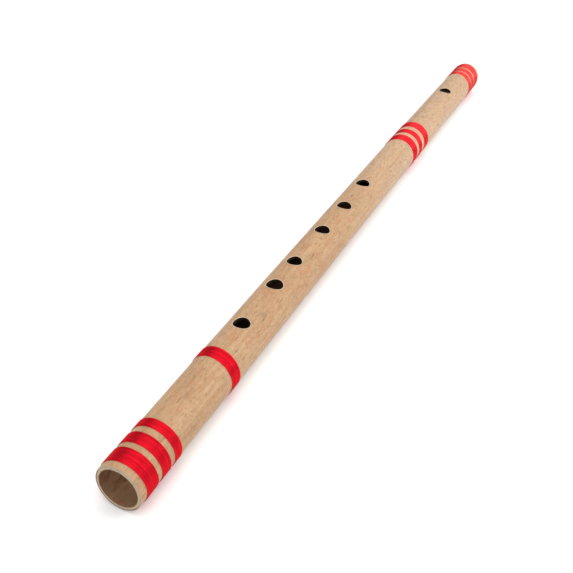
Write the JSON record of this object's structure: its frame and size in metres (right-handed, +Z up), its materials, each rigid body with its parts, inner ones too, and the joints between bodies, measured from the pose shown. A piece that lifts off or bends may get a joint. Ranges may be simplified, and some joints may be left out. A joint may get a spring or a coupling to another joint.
{
  "type": "bamboo flute",
  "caption": "Side-blown bamboo flute with round finger holes, an oval blow hole, red thread bindings and a sliding cork stopper.",
  "frame": {"origin": "halfway along the flute, under its axis, on the surface that its bindings lie on", "axes": "+X along the bore from the open foot to the head, +Z up through the finger holes and the blow hole"},
  "size_m": [0.6162, 0.0278, 0.0279],
  "materials": {
    "bamboo": "satin",
    "thread": "satin",
    "cork": "matte"
  },
  "bodies": {
    "flute": {"bamboo_tube": "bamboo", "foot_binding_1": "thread", "foot_binding_2": "thread", "foot_binding_3": "thread", "lower_binding": "thread", "upper_binding_1": "thread", "upper_binding_2": "thread", "upper_binding_3": "thread", "head_binding_1": "thread", "head_binding_2": "thread", "head_binding_3": "thread"},
    "stopper": {"cork_stopper": "cork"}
  },
  "joints": [
    {"name": "stopper_slide", "type": "slide", "parent": "flute", "child": "stopper", "axis": [1, 0, 0], "range_m": [-0.008, 0.0645]}
  ]
}
